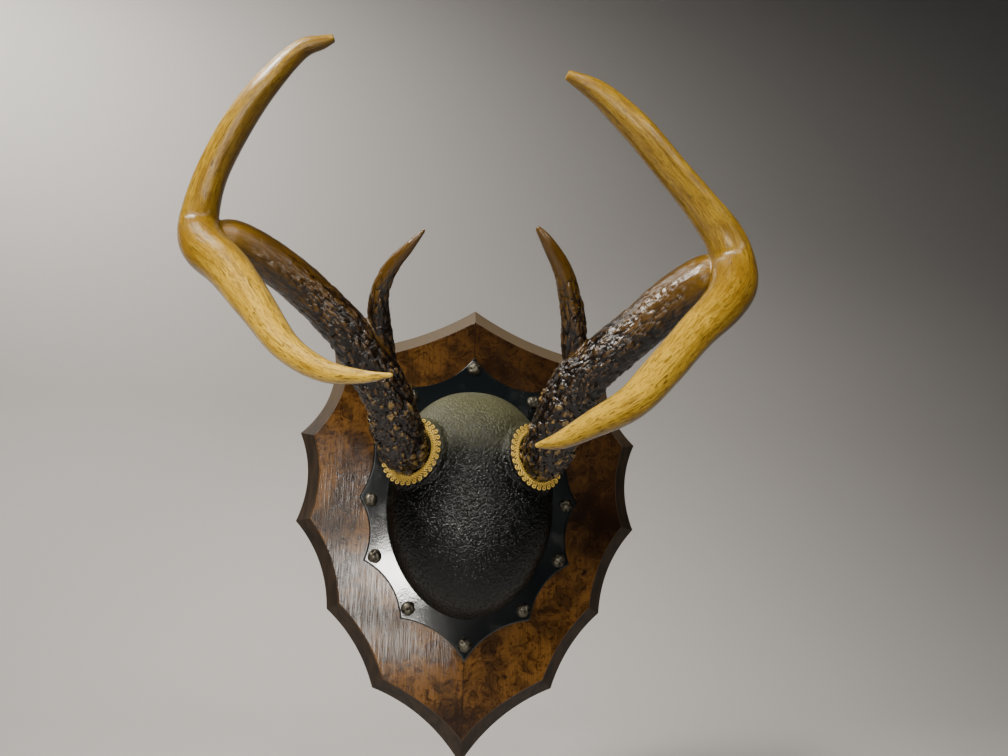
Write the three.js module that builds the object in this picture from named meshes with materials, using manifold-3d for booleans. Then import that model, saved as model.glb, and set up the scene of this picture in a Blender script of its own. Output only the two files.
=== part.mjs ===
// A pair of whitetail antlers on a wall plaque: a scalloped veneered board, a scalloped black metal plate
// nailed to it, a leather-covered skull form, gold gimp braid round each antler's foot, and two antlers of
// three points each.
//
// Millimetres, +Z up, +X to the right of someone facing the plaque, -Y out from the wall. The origin is in
// the middle of the board's flat back, which lies against the wall in the plane Y = 0.

import * as THREE from 'three';
import { mergeVertices } from 'three/addons/utils/BufferGeometryUtils.js';
import Module from 'manifold-3d';

const wasm = await Module();
wasm.setup();

// ---------------------------------------------------------------- driving dimensions

const GAP = 0.3;                       // left between pieces that are cut to fit each other
const AMPLE = 400;                     // larger than anything that is cut away with it

// Corners of the right-hand half of each scalloped outline, from the top point down to the bottom point.
// dip is how far the hollow edge to the next corner sinks in, as a share of the straight distance.
const BOARD = {
  thick: 19,
  bevelWide: 10,
  bevelDeep: 8,
  corners: [
    { x: 0, z: 178, dip: 0.063 },
    { x: 115, z: 137.5, dip: 0.14 },
    { x: 137, z: 68.5, dip: 0.105 },
    { x: 135.5, z: -1, dip: 0.09 },
    { x: 107, z: -67, dip: 0.07 },
    { x: 69, z: -124, dip: 0.08 },
    { x: 0, z: -178, dip: 0 },
  ],
};
const PLATE = {
  thick: 1.5,
  corners: [
    { x: 0, z: 135.5, dip: 0.13 },
    { x: 54, z: 108.5, dip: 0.11 },
    { x: 84, z: 80, dip: 0.13 },
    { x: 87, z: 19, dip: 0.13 },
    { x: 81, z: -29.5, dip: 0.13 },
    { x: 50, z: -72.5, dip: 0.12 },
    { x: 0, z: -104, dip: 0 },
  ],
};
const TACK = { head: 11, height: 3.8, shank: 2, length: 14, inset: 9.5, insetBottom: 13, hole: 3 };
const HANGER = { wide: 46, tall: 14, thick: 1, pocketDeep: 3, margin: 4, z: 118, teeth: 9, toothDeep: 2.5,
  toothed: 0.7 };                      // share of its width that has teeth

// The leather-covered form: a full oval on the plate about a middle height, rising to a full crown, with a
// round shoulder standing out of it under each antler. A roundness of 2 would be a true ellipse.
const DOME = {
  halfWidth: 65.5,
  middle: 14,
  up: { reach: 90.5, roundness: 2.2 },
  down: { reach: 86, roundness: 1.9 },
  crown: 57,
  fullness: 2.6,
};
const SHOULDER = { across: 56, root: 70, deep: 34, rounding: 3 };

// Where each antler's foot stands on its shoulder, and the way it points.
const FOOT = {
  pedicle: 28,                         // bone stub let into the form
  socketDeep: 12,
  coronet: 41,                         // the knobbly ring at the antler's foot
  coronetThick: 9,
  left: { seat: [-47, -62, 51.5], lean: [-0.55, -0.81, 0.2] },
  right: { seat: [46.5, -62, 51], lean: [0.55, -0.81, 0.2] },
};
const GIMP = { outer: 54, inner: 30, thick: 2.6, rounding: 1 };

// Stations along the middle of each limb: x, y, z and the thickness across, from thick end to point. The
// arch is one sweep from the point of the upper tine, down through the fork and out along the beam.
const ANTLER = {
  left: {
    rear: [
      [-51, -67, 52, 34], [-54, -83, 54, 34], [-56, -99, 63, 33], [-61, -114, 76, 32],
      [-72, -129, 95, 32], [-92, -145, 121, 29], [-115, -157, 141, 27], [-135, -168, 154, 26.5],
      [-156, -178, 163, 26.5], [-174, -190, 163, 24],
    ],
    arch: [
      [-101, -225, 278, 2], [-109, -224, 274, 7], [-122, -222, 268, 11], [-141, -217, 246, 15],
      [-157, -209, 223, 17.5], [-170, -200, 198, 18.5], [-176, -194, 175, 21.5], [-175, -194, 162, 25],
      [-168, -201, 150, 26.5], [-151, -216, 134, 24.5], [-129, -239, 107, 20], [-108, -262, 81, 15],
      [-87, -281, 66, 11], [-68, -295, 61, 6.5], [-53, -307, 60, 2],
    ],
    brow: [
      [-68, -127, 103, 19], [-71, -143, 126, 16], [-71, -157, 144, 12.5], [-64, -169, 158, 10],
      [-54, -177, 168, 7], [-44, -184, 178, 2],
    ],
  },
  right: {
    rear: [
      [51, -67, 50, 35], [52, -82, 52, 35], [53, -98, 62, 34.5], [57, -112, 78, 34.5],
      [67, -127, 99, 34.5], [83, -140, 115, 32.5], [102, -151, 131, 32], [122, -164, 149, 32.5],
      [139, -177, 160, 31], [152, -191, 161, 26],
    ],
    arch: [
      [36, -228, 264, 6], [48, -226, 260, 11], [61, -223, 254, 15], [83, -217, 238, 18.7],
      [105, -209, 219, 19.5], [126, -201, 201, 21.5], [144, -194, 183, 25], [152, -192, 167, 28],
      [148, -199, 149, 28.5], [135, -212, 131, 26], [110, -232, 107, 22], [83, -255, 79, 20],
      [62, -273, 59, 17.5], [39, -289, 45, 13], [21, -303, 35, 8], [8, -313, 31, 2],
    ],
    brow: [
      [67, -123, 105, 20], [61, -134, 122, 18], [57, -146, 141, 16], [48, -160, 164, 13],
      [36, -171, 179, 9], [27, -177, 188, 3.5],
    ],
  },
};
// Where the limbs are parted, as shares of the length of each sweep.
const PARTING = {
  left: { rear: 0.6, browTine: 0.36, upperTine: 0.33, frontBeam: 0.53 },
  right: { rear: 0.61, browTine: 0.33, upperTine: 0.31, frontBeam: 0.5 },
};
// Width of each cut: wider than its limb there, and clear of the limbs beside it.
const CUT = { rear: 37, browTine: 22, upperTine: 32, frontBeam: 36 };
const SIDES = 14;                      // faces round a beam
const TINE_SIDES = 12;
const STEP = 12;                       // length of a swept ring

// ---------------------------------------------------------------- finishes

const finish = (color, roughness, metalness = 0) =>
  new THREE.MeshStandardMaterial({ color, roughness, metalness });
const FINISH = {
  veneer: () => finish(0x5a3218, 0.3),
  blackMetal: () => finish(0x15181a, 0.35, 0.6),
  pewter: () => finish(0x4a463d, 0.4, 0.8),
  leather: () => finish(0x1c1f1e, 0.5),
  goldBraid: () => finish(0xc9a24a, 0.5, 0.2),
  darkAntler: () => finish(0x2c1c0e, 0.3),
  amberAntler: () => finish(0xa9772c, 0.25),
  steel: () => finish(0x9a9890, 0.4, 0.9),
};

// ---------------------------------------------------------------- solids and meshes

// Closed geometry as a solid that can be joined and cut.
function solid(geometry) {
  const bare = geometry.clone();
  bare.deleteAttribute('normal');
  bare.deleteAttribute('uv');
  const merged = mergeVertices(bare, 1e-4);
  return new wasm.Manifold(new wasm.Mesh({
    numProp: 3,
    vertProperties: new Float32Array(merged.attributes.position.array),
    triVerts: new Uint32Array(merged.index.array),
  }));
}

function geometryOf(body) {
  const { vertProperties, triVerts } = body.getMesh();
  const geometry = new THREE.BufferGeometry();
  geometry.setAttribute('position', new THREE.BufferAttribute(new Float32Array(vertProperties), 3));
  geometry.setIndex(new THREE.BufferAttribute(new Uint32Array(triVerts), 1));
  geometry.computeVertexNormals();
  return geometry;
}

function piece(name, body, material) {
  const mesh = new THREE.Mesh(geometryOf(body), material);
  mesh.name = name;
  return mesh;
}

const join = (bodies) => bodies.reduce((whole, body) => whole.add(body));
const cutAll = (body, tools) => tools.reduce((rest, tool) => rest.subtract(tool), body);

// Turns a geometry made about the Y axis so that it runs from a point along a direction.
function aim(geometry, at, along) {
  const turn = new THREE.Quaternion().setFromUnitVectors(new THREE.Vector3(0, 1, 0), along.clone().normalize());
  return geometry.applyQuaternion(turn).translate(at.x, at.y, at.z);
}

// Lays a shape drawn in X and Z flat against the plane Y = back, with its thickness going out from the wall.
function layOnWall(geometry, back) {
  return geometry.rotateX(Math.PI / 2).translate(0, back, 0);
}

// ---------------------------------------------------------------- board, plate, tacks, hanger

// Closed scalloped outline: hollow curves between the corners, the left half mirrored from the right.
function scallopedShape(corners) {
  const right = corners.slice(0, -1).map((from, i) => ({ from, to: corners[i + 1], dip: from.dip }));
  const left = right.map(({ from, to, dip }) => ({
    from: { x: -to.x, z: to.z }, to: { x: -from.x, z: from.z }, dip,
  })).reverse();
  const shape = new THREE.Shape();
  shape.moveTo(corners[0].x, corners[0].z);
  for (const { from, to, dip } of [...right, ...left]) {
    const [dx, dz] = [to.x - from.x, to.z - from.z];
    shape.quadraticCurveTo((from.x + to.x) / 2 + 2 * dip * dz, (from.z + to.z) / 2 - 2 * dip * dx, to.x, to.z);
  }
  return shape;
}

// Places of the tacks: a little in from every corner of the plate, towards its middle.
function tackPlaces() {
  const right = PLATE.corners.map(({ x, z }, i) => {
    const inset = i === PLATE.corners.length - 1 ? TACK.insetBottom : TACK.inset;
    const reach = Math.hypot(x, z);
    return { x: x - inset * x / reach, z: z - inset * z / reach };
  });
  const left = right.filter(({ x }) => x > 0).map(({ x, z }) => ({ x: -x, z }));
  return [...right, ...left];
}

function tackHole({ x, z }, front, depth) {
  const hole = new THREE.CylinderGeometry(TACK.hole / 2, TACK.hole / 2, depth, 6);
  return solid(hole.translate(x, front + depth / 2, z));
}

function makeBoard() {
  const { thick, bevelWide, bevelDeep, corners } = BOARD;
  const slab = new THREE.ExtrudeGeometry(scallopedShape(corners), {
    depth: thick, curveSegments: 6,
    bevelThickness: bevelDeep, bevelSize: bevelWide, bevelOffset: -bevelWide, bevelSegments: 1,
  });
  // Extruding leaves a bevel at both ends: the one towards the wall is cut away.
  layOnWall(slab, bevelDeep);
  const keep = new THREE.BoxGeometry(AMPLE, thick, AMPLE).translate(0, -thick / 2, 0);
  const { wide, tall, pocketDeep, margin, z } = HANGER;
  const pocket = new THREE.BoxGeometry(wide + 2 * margin, 2 * pocketDeep, tall + 2 * margin).translate(0, 0, z);
  const holeDepth = TACK.length + GAP;
  const holes = tackPlaces().map((place) => tackHole(place, -thick - 1, holeDepth + 1));
  return cutAll(solid(slab).intersect(solid(keep)), [solid(pocket), ...holes]);
}

function makePlate() {
  const sheet = new THREE.ExtrudeGeometry(scallopedShape(PLATE.corners), {
    depth: PLATE.thick, curveSegments: 6, bevelEnabled: false,
  });
  layOnWall(sheet, -BOARD.thick);
  const holes = tackPlaces().map((place) => tackHole(place, -BOARD.thick - 2 * PLATE.thick, 3 * PLATE.thick));
  return cutAll(solid(sheet), holes);
}

// A round-headed tack: the head on the plate, the shank through it into the board.
function makeTack({ x, z }) {
  const { head, height, shank, length } = TACK;
  const profile = [
    new THREE.Vector2(0, -length), new THREE.Vector2(shank / 2, -length + 2), new THREE.Vector2(shank / 2, 0),
    new THREE.Vector2(head / 2, 0), new THREE.Vector2(0.93 * head / 2, 0.45 * height),
    new THREE.Vector2(0.62 * head / 2, 0.85 * height), new THREE.Vector2(0, height),
  ];
  const geometry = new THREE.LatheGeometry(profile, 8);
  return solid(aim(geometry, new THREE.Vector3(x, -BOARD.thick - PLATE.thick, z), new THREE.Vector3(0, -1, 0)));
}

// A strip of steel with a toothed lower edge, lying in the pocket in the board's back.
function makeHanger() {
  const { wide, tall, thick, pocketDeep, z, teeth, toothDeep, toothed } = HANGER;
  const shape = new THREE.Shape();
  const pitch = toothed * wide / teeth;
  const first = -toothed * wide / 2;
  shape.moveTo(-wide / 2, z - tall / 2);
  shape.lineTo(first, z - tall / 2);
  for (let i = 0; i < teeth; i += 1) {
    shape.lineTo(first + (i + 0.5) * pitch, z - tall / 2 + toothDeep);
    shape.lineTo(first + (i + 1) * pitch, z - tall / 2);
  }
  shape.lineTo(wide / 2, z - tall / 2);
  shape.lineTo(wide / 2, z + tall / 2);
  shape.lineTo(-wide / 2, z + tall / 2);
  const strip = new THREE.ExtrudeGeometry(shape, { depth: thick, bevelEnabled: false });
  return solid(layOnWall(strip, -pocketDeep + thick));
}

// ---------------------------------------------------------------- leather form and braid

// The oval form. A lathe makes it round, and its points are then set out to the oval. Its height over the
// plate is crown * (1 - share ** fullness) ** (1 / fullness), where share is the way out to the edge.
function makeForm(rings, sides) {
  const { halfWidth, middle, up, down, crown, fullness } = DOME;
  const profile = [new THREE.Vector2(0, 0)];
  for (let i = 0; i <= rings; i += 1) {
    const turn = (i / rings) * Math.PI / 2;
    const share = i < rings ? Math.cos(turn) ** (2 / fullness) : 0;
    profile.push(new THREE.Vector2(share, Math.sin(turn) ** (2 / fullness) * crown));
  }
  const form = new THREE.LatheGeometry(profile, sides);
  const points = form.attributes.position;
  for (let i = 0; i < points.count; i += 1) {
    const [across, height, along] = [points.getX(i), points.getY(i), -points.getZ(i)];
    const radius = Math.hypot(across, along);
    const { reach, roundness } = along > 0 ? up : down;
    const squared = (Math.abs(across) ** roundness + Math.abs(along) ** roundness) ** (1 / roundness);
    const corner = squared > 0 ? radius / squared : 1;
    points.setXYZ(i, corner * across * halfWidth, -BOARD.thick - PLATE.thick - height,
      middle + corner * along * reach);
  }
  return solid(form);
}

function footAxis(side) {
  return {
    seat: new THREE.Vector3(...FOOT[side].seat),
    along: new THREE.Vector3(...FOOT[side].lean).normalize(),
  };
}

// A turned solid about the foot's axis: each profile point is a radius and a height above the leather.
function turnedAtFoot(side, profile, sides) {
  const { seat, along } = footAxis(side);
  const points = profile.map(([radius, height]) => new THREE.Vector2(radius, height));
  return solid(aim(new THREE.LatheGeometry(points, sides), seat, along));
}

const drumAtFoot = (side, across, from, to, sides) =>
  turnedAtFoot(side, [[0, from], [across / 2, from], [across / 2, to], [0, to]], sides);

const pedicle = (side, grow) =>
  drumAtFoot(side, FOOT.pedicle + 2 * grow, -FOOT.socketDeep - grow, FOOT.coronetThick, 14);

function shoulder(side) {
  const { across, root, deep, rounding } = SHOULDER;
  const edge = across / 2;
  return turnedAtFoot(side, [
    [0, -deep], [root / 2, -deep], [edge, -rounding], [edge - 0.3 * rounding, -0.3 * rounding],
    [edge - rounding, 0], [0, 0],
  ], 20);
}

function makeDome() {
  const base = -BOARD.thick - PLATE.thick;
  const behind = new THREE.BoxGeometry(AMPLE, -2 * base, AMPLE);
  const form = join([makeForm(8, 30), shoulder('left'), shoulder('right')]);
  return cutAll(form, [solid(behind), pedicle('left', GAP), pedicle('right', GAP)]);
}

// The braid lies on the leather all round the foot.
function makeGimp(side) {
  const [inner, outer] = [GIMP.inner / 2, GIMP.outer / 2];
  const { thick, rounding } = GIMP;
  return turnedAtFoot(side, [
    [inner, GAP], [outer, GAP], [outer, thick - rounding], [outer - rounding, thick],
    [inner + rounding, thick], [inner, thick - rounding], [inner, GAP],
  ], 24);
}

// ---------------------------------------------------------------- antlers

const pathOf = (stations) =>
  new THREE.CatmullRomCurve3(stations.map(([x, y, z]) => new THREE.Vector3(x, y, z)), false, 'catmullrom', 0.5);

// A tapering limb: a unit ring is swept along the path, and every ring is then opened out to the limb's own
// thickness there.
function limb(stations, sides) {
  const path = pathOf(stations);
  const girth = new THREE.CatmullRomCurve3(
    stations.map(([, , , across]) => new THREE.Vector3(across / 2, 0, 0)), false, 'catmullrom', 0.5);
  const steps = Math.round(path.getLength() / STEP);
  const ring = new THREE.Shape(Array.from({ length: sides }, (_, i) => {
    const turn = 2 * Math.PI * i / sides;
    return new THREE.Vector2(Math.cos(turn), Math.sin(turn));
  }));
  const sweep = new THREE.ExtrudeGeometry(ring, { steps, extrudePath: path });
  const centres = path.getSpacedPoints(steps);
  const radii = centres.map((_, i) => Math.max(0.5, girth.getPoint(path.getUtoTmapping(i / steps)).x));
  const points = sweep.attributes.position;
  const point = new THREE.Vector3();
  for (let i = 0; i < points.count; i += 1) {
    point.fromBufferAttribute(points, i);
    const away = centres.map((centre) => centre.distanceToSquared(point));
    const nearest = away.indexOf(Math.min(...away));
    point.sub(centres[nearest]).multiplyScalar(radii[nearest]).add(centres[nearest]);
    points.setXYZ(i, point.x, point.y, point.z);
  }
  return solid(sweep);
}

// A thin disc across a path, which parts the limb there.
function parting(stations, share, across) {
  const path = pathOf(stations);
  const disc = new THREE.CylinderGeometry(across / 2, across / 2, GAP, 16);
  return solid(aim(disc, path.getPointAt(share), path.getTangentAt(share)));
}

// The knobbly ring at the foot, widest in its middle.
function coronet(side) {
  const { coronet: across, coronetThick: thick } = FOOT;
  return turnedAtFoot(side, [
    [0, 0], [0.45 * across, 0], [0.49 * across, 0.35 * thick], [across / 2, 0.6 * thick],
    [0.47 * across, 0.9 * thick], [0.39 * across, 1.25 * thick], [0, 1.25 * thick],
  ], 18);
}

// The body among several that comes nearest to a point.
function nearestTo(point, bodies) {
  const distance = (body) => {
    const { vertProperties } = body.getMesh();
    let least = Infinity;
    for (let i = 0; i < vertProperties.length; i += 3) {
      const [x, y, z] = vertProperties.slice(i, i + 3);
      least = Math.min(least, Math.hypot(x - point.x, y - point.y, z - point.z));
    }
    return least;
  };
  return bodies.reduce((best, body) => (distance(body) < distance(best) ? body : best));
}

// One antler, made whole and then parted at its forks into five lengths.
function makeAntler(side) {
  const { rear, arch, brow } = ANTLER[side];
  const share = PARTING[side];
  const limbs = join([limb(rear, SIDES), coronet(side), limb(arch, SIDES), limb(brow, TINE_SIDES)]);
  const belowBraid = drumAtFoot(side, 2 * GIMP.outer, -GIMP.outer, GIMP.thick + GAP, 16);
  const whole = limbs.subtract(belowBraid).add(pedicle(side, 0));
  const bodies = cutAll(whole, [
    parting(rear, share.rear, CUT.rear),
    parting(brow, share.browTine, CUT.browTine),
    parting(arch, share.upperTine, CUT.upperTine),
    parting(arch, share.frontBeam, CUT.frontBeam),
  ]).decompose();
  const probes = {
    base: pathOf(rear).getPointAt(0.15),
    brow_tine: pathOf(brow).getPointAt(1),
    beam: pathOf(rear).getPointAt(0.7),
    upper_tine: pathOf(arch).getPointAt(0),
    front_beam: pathOf(arch).getPointAt(1),
  };
  if (bodies.length !== Object.keys(probes).length) {
    throw new Error(`the ${side} antler came apart into ${bodies.length} bodies`);
  }
  const group = new THREE.Group();
  for (const [part, probe] of Object.entries(probes)) {
    const dark = part === 'base' || part === 'beam' || part === 'brow_tine';
    const material = dark ? FINISH.darkAntler() : FINISH.amberAntler();
    group.add(piece(`antler_${side}_${part}`, nearestTo(probe, bodies), material));
  }
  return group;
}

// ---------------------------------------------------------------- assembly

const mount = new THREE.Group();
mount.add(piece('board', makeBoard(), FINISH.veneer()));
mount.add(piece('plate', makePlate(), FINISH.blackMetal()));
mount.add(piece('hanger', makeHanger(), FINISH.steel()));
mount.add(piece('dome', makeDome(), FINISH.leather()));
tackPlaces().forEach((place, i) => {
  mount.add(piece(`tack_${String(i + 1).padStart(2, '0')}`, makeTack(place), FINISH.pewter()));
});
for (const side of ['left', 'right']) {
  mount.add(piece(`gimp_${side}`, makeGimp(side), FINISH.goldBraid()));
  mount.add(makeAntler(side));
}

export default mount;
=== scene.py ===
"""Looks of a deer antler mount on a wall plaque.

A scalloped board in burl veneer carries a scalloped black plate held by twelve hammered tacks, an oval form
covered in black leather, two rings of gold braid and two lacquered antlers. Metres, +Z up, +X to the right
of someone facing the plaque, -Y out from the wall. Sizes shared with the solids are written in millimetres
and multiplied by MM.
"""

import math

import bmesh
import bpy
import numpy as np
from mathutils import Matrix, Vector


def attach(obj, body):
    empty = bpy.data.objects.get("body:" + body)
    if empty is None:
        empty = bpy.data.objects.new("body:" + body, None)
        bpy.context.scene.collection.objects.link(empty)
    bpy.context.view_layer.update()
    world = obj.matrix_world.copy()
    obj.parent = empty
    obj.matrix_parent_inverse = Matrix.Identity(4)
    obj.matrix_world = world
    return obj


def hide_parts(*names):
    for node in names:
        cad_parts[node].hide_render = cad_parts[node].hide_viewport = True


bl_info = {
    "name": "Antler Mount",
    "version": (1, 0, 0),
    "blender": (4, 5, 0),
    "location": "View3D > Sidebar > Antler Mount",
    "description": "Builds and finishes the pieces of a deer antler mount on a wall plaque",
    "category": "Object",
}

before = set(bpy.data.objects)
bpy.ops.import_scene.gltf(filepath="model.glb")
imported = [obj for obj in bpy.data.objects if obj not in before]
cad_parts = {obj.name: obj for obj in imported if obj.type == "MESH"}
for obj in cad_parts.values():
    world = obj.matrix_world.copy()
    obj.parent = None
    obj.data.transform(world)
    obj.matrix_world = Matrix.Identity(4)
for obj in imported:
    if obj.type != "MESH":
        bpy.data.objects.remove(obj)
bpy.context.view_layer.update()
MM = 0.001

# Corners of the right half of each outline from the top point down: x, z and how far the hollow edge to the
# next corner sinks in, as a share of the distance.
BOARD_CORNERS = (
    (0, 178, 0.063), (115, 137.5, 0.14), (137, 68.5, 0.105), (135.5, -1, 0.09),
    (107, -67, 0.07), (69, -124, 0.08), (0, -178, 0),
)
PLATE_CORNERS = (
    (0, 135.5, 0.13), (54, 108.5, 0.11), (84, 80, 0.13), (87, 19, 0.13),
    (81, -29.5, 0.13), (50, -72.5, 0.12), (0, -104, 0),
)
BOARD_THICK = 19 * MM
BEVEL_DEEP = 8 * MM
PLATE_THICK = 1.5 * MM
PLATE_FACE = -BOARD_THICK - PLATE_THICK
# The plate's rolled edge: inset and distance behind its face, as shares of its thickness.
PLATE_EDGE = ((0.2, 1), (0, 0.8), (0, 0.4), (0.12, 0.12), (0.4, 0), (1, 0))
POCKET = {"wide": 54 * MM, "tall": 22 * MM, "deep": 3 * MM, "z": 118 * MM}
TACK_INSET, TACK_INSET_BOTTOM = 9.5 * MM, 13 * MM
SHANK = ((0.2, -14), (1, -12), (1, 0))     # radius, height over the plate

# The leather form: an oval of this half width about a middle height, and its reach and roundness above and
# below the middle.
FORM = {
    "half_width": 65.5 * MM, "middle": 14 * MM, "crown": 57 * MM, "fullness": 2.6,
    "up": (90.5 * MM, 2.2), "down": (86 * MM, 1.9),
}
SHOULDER = ((0, -34), (35, -34), (28, -3), (27, -0.9), (25, 0), (0, 0))     # radius, height about the foot

# Foot of each antler: where it stands on its shoulder, and the way it points.
FOOT = {
    "left": ((-47, -62, 51.5), (-0.55, -0.81, 0.2)),
    "right": ((46.5, -62, 51), (0.55, -0.81, 0.2)),
}
CORONET = ((0, 2.9), (16.4, 2.9), (17.3, 4.5), (17.6, 6), (17.2, 8.5), (15.5, 11.5), (0, 11.5))
PEDICLE = ((0, -10), (14, -10), (14, 6), (0, 6))
# The burr's beads: how many, and limits of their distance out, their height and their radius.
BEADS, BEAD_OUT, BEAD_HEIGHT, BEAD_SIZE = 21, (15.8, 17.2), (4.4, 8.0), (1.9, 3.2)
SCROLLS, BRAID_MIDDLE = 30, 22.0       # curls along the braid's edge, and the radius of its middle
# A ring under the braid's threads that shows as painted shade in the gaps between them.
BACKING = ((17.5, 0.3), (25.4, 0.3), (25.4, 1.0), (17.5, 1.0))

# Stations along the middle of each limb: x, y, z and the thickness across.
LIMBS = {
    "left": {
        "rear": (
            (-51, -67, 52, 34), (-54, -83, 54, 34), (-56, -99, 63, 33), (-61, -114, 76, 32),
            (-72, -129, 95, 32), (-92, -145, 121, 29), (-115, -157, 141, 27), (-135, -168, 154, 26.5),
            (-156, -178, 163, 26.5), (-174, -190, 163, 24),
        ),
        "arch": (
            (-102, -225, 276.4, 4.6), (-109, -224, 273.5, 7.8), (-122, -222, 268, 11), (-141, -217, 246, 15),
            (-157, -209, 223, 17.5), (-170, -200, 198, 18.5), (-176, -194, 175, 21.5),
            (-175, -194, 162, 25), (-168, -201, 150, 26.5), (-151, -216, 134, 24.5), (-129, -239, 107, 20),
            (-108, -262, 81, 15), (-87, -281, 66, 11), (-68, -295, 61, 6.5), (-53, -307, 60, 2),
        ),
        "brow": (
            (-68, -127, 103, 19), (-71, -143, 126, 16), (-71, -157, 144, 12.5), (-64, -169, 158, 10),
            (-54, -177, 168, 7), (-44, -184, 178, 2),
        ),
    },
    "right": {
        "rear": (
            (51, -67, 50, 35), (52, -82, 52, 35), (53, -98, 62, 34.5), (57, -112, 78, 34.5),
            (67, -127, 99, 34.5), (83, -140, 115, 32.5), (102, -151, 131, 32), (122, -164, 149, 32.5),
            (139, -177, 160, 31), (152, -191, 161, 26),
        ),
        "arch": (
            (36, -228, 264, 6), (48, -226, 260, 11), (61, -223, 254, 15), (83, -217, 238, 18.7),
            (105, -209, 219, 19.5), (126, -201, 201, 21.5), (144, -194, 183, 25), (151, -192, 167, 27.2),
            (148, -199, 149, 28.5), (135, -212, 131, 26), (110, -232, 107, 22), (83, -255, 79, 20),
            (62, -273, 59, 17.5), (39, -289, 45, 13), (21, -303, 35, 8), (8, -313, 31, 2),
        ),
        "brow": (
            (67, -123, 105, 20), (61, -134, 122, 18), (57, -146, 141, 16), (48, -160, 164, 13),
            (36, -171, 179, 9), (27, -177, 188, 3.5),
        ),
    },
}
# How rough and how amber each limb is along its length: shares of the length and the values there.
BARK = {
    "rear": ((0, 1), (0.42, 1), (0.58, 0.6), (0.75, 0.3), (0.9, 0.1), (1, 0.05)),
    "arch": ((0, 0), (0.3, 0.03), (0.45, 0.08), (0.6, 0.03), (1, 0)),
    "brow": ((0, 1), (0.4, 0.8), (0.62, 0.35), (0.8, 0.05), (1, 0)),
}
AMBER = {
    "rear": ((0, 0), (0.38, 0.12), (0.55, 0.34), (0.72, 0.55), (0.9, 0.85), (1, 0.95)),
    "arch": ((0, 1), (1, 1)),
    "brow": ((0, 0.1), (0.3, 0.3), (0.6, 0.6), (0.76, 0.95), (1, 1)),
}
PALE = {
    "rear": ((0, -0.7), (0.8, -0.55), (1, 0.1)),
    "arch": ((0, 0.35), (0.3, 0.55), (0.45, 0.05), (0.6, 0.65), (1, 0.9)),
    "brow": ((0, -0.5), (0.7, -0.6), (1, -0.5)),
}
PEARLY = {
    "rear": ((0, 1), (0.28, 1), (0.5, 0.45), (1, 0.2)),
    "arch": ((0, 0), (1, 0)),
    "brow": ((0, 0.7), (0.5, 0.3), (1, 0)),
}
PAINTED_LIGHT_SIDE = (-0.55, -0.3, 0.75)        # where painted light comes from: painted shade darkens each antler's side that faces away
LIMB_BLEND = 1.6 * MM                  # how far one limb's pattern reaches into another's
# The web in each brow fork: how fast it fades away from where the tine and the beam are equally near, where
# it starts along the beam and over what length, and how much smoother, more amber and paler it is than bark.
WEB_FADE, WEB_START, WEB_RISE = 4.5 * MM, 84 * MM, 6 * MM
WEB_SMOOTH, WEB_AMBER, WEB_PALE = 0.8, 0.62, 0.1
# Lamps: name, where each is, what it faces, its width and height in metres, watts, and degrees of spread.
LAMPS = (
    ("key", (-0.8, -0.95, 1.0), (0, -0.1, 0.05), 0.3, 0.3, 5.6, 70),
    ("front", (0.07, -1.2, 0.07), (-0.02, -0.1, 0.05), 0.09, 0.09, 0.45, 90),
    ("ceiling", (0.06, -0.95, 0.9), (0, -0.15, 0.05), 0.1, 0.1, 0.6, 60),
    ("right", (0.7, -0.9, 0.6), (0, -0.15, 0.05), 0.1, 0.1, 0.22, 60),
    ("window", (-0.28, -1.26, 0.06), (-0.28, 0, 0.06), 0.14, 0.3, 0.09, 60),
    ("window low", (-0.19, -1.26, -0.17), (-0.19, 0, -0.17), 0.12, 0.2, 0.21, 60),
    ("window foot", (-0.10, -1.26, -0.30), (-0.10, 0, -0.30), 0.13, 0.13, 0.22, 60),
    ("pane", (-0.085, -1.26, -0.105), (-0.085, 0, -0.105), 0.1, 0.1, 0.24, 60),
    ("backdrop", (-1.3, 0.45, 1.6), (-0.6, 1.25, 0.25), 1.4, 0.5, 20, 120),
)
ANTLER_TRIANGLES = 190000
ANTLER_NODES = ("base", "brow_tine", "beam", "upper_tine", "front_beam")


# ------------------------ settings a user would change


def length(name, description, default):
    """A size in metres."""
    return bpy.props.FloatProperty(
        name=name, description=description, default=default, min=0.0, unit="LENGTH", subtype="DISTANCE",
        precision=4,
    )


def colour(name, description, default):
    """A colour as the strengths of its red, green and blue light."""
    return bpy.props.FloatVectorProperty(
        name=name, description=description, default=default, min=0.0, max=1.0, size=3, subtype="COLOR",
    )


def amount(name, description, default, top=1.0):
    """A strength from nothing to top."""
    return bpy.props.FloatProperty(
        name=name, description=description, default=default, min=0.0, max=top, subtype="FACTOR",
    )


class ANTLER_PG_plaque(bpy.types.PropertyGroup):
    """Sizes and colours of the board, the plate and the tacks."""

    bevel_wide: length("Bevel width", "Width of the board's sloping edge", 10 * MM)
    edge_round: length("Edge rounding", "Rounding of the board's edges", 0.5 * MM)
    head_across: length("Tack head", "Width of a tack's head", 11 * MM)
    head_height: length("Tack height", "Height of a tack's head", 3.8 * MM)
    veneer_light: colour("Veneer light", "Lightest colour of the burl", (0.112, 0.050, 0.011))
    veneer_mid: colour("Veneer middle", "Middle colour of the burl", (0.050, 0.020, 0.004))
    veneer_dark: colour("Veneer dark", "Colour of the burl's eyes and curls", (0.009, 0.004, 0.002))
    edge_wood: colour("Edge wood", "Colour of the sloping edge", (0.024, 0.014, 0.007))
    plate_paint: colour("Plate paint", "Colour of the metal plate", (0.0025, 0.004, 0.0045))
    pewter: colour("Pewter", "Colour of the tacks", (0.090, 0.082, 0.062))


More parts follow.
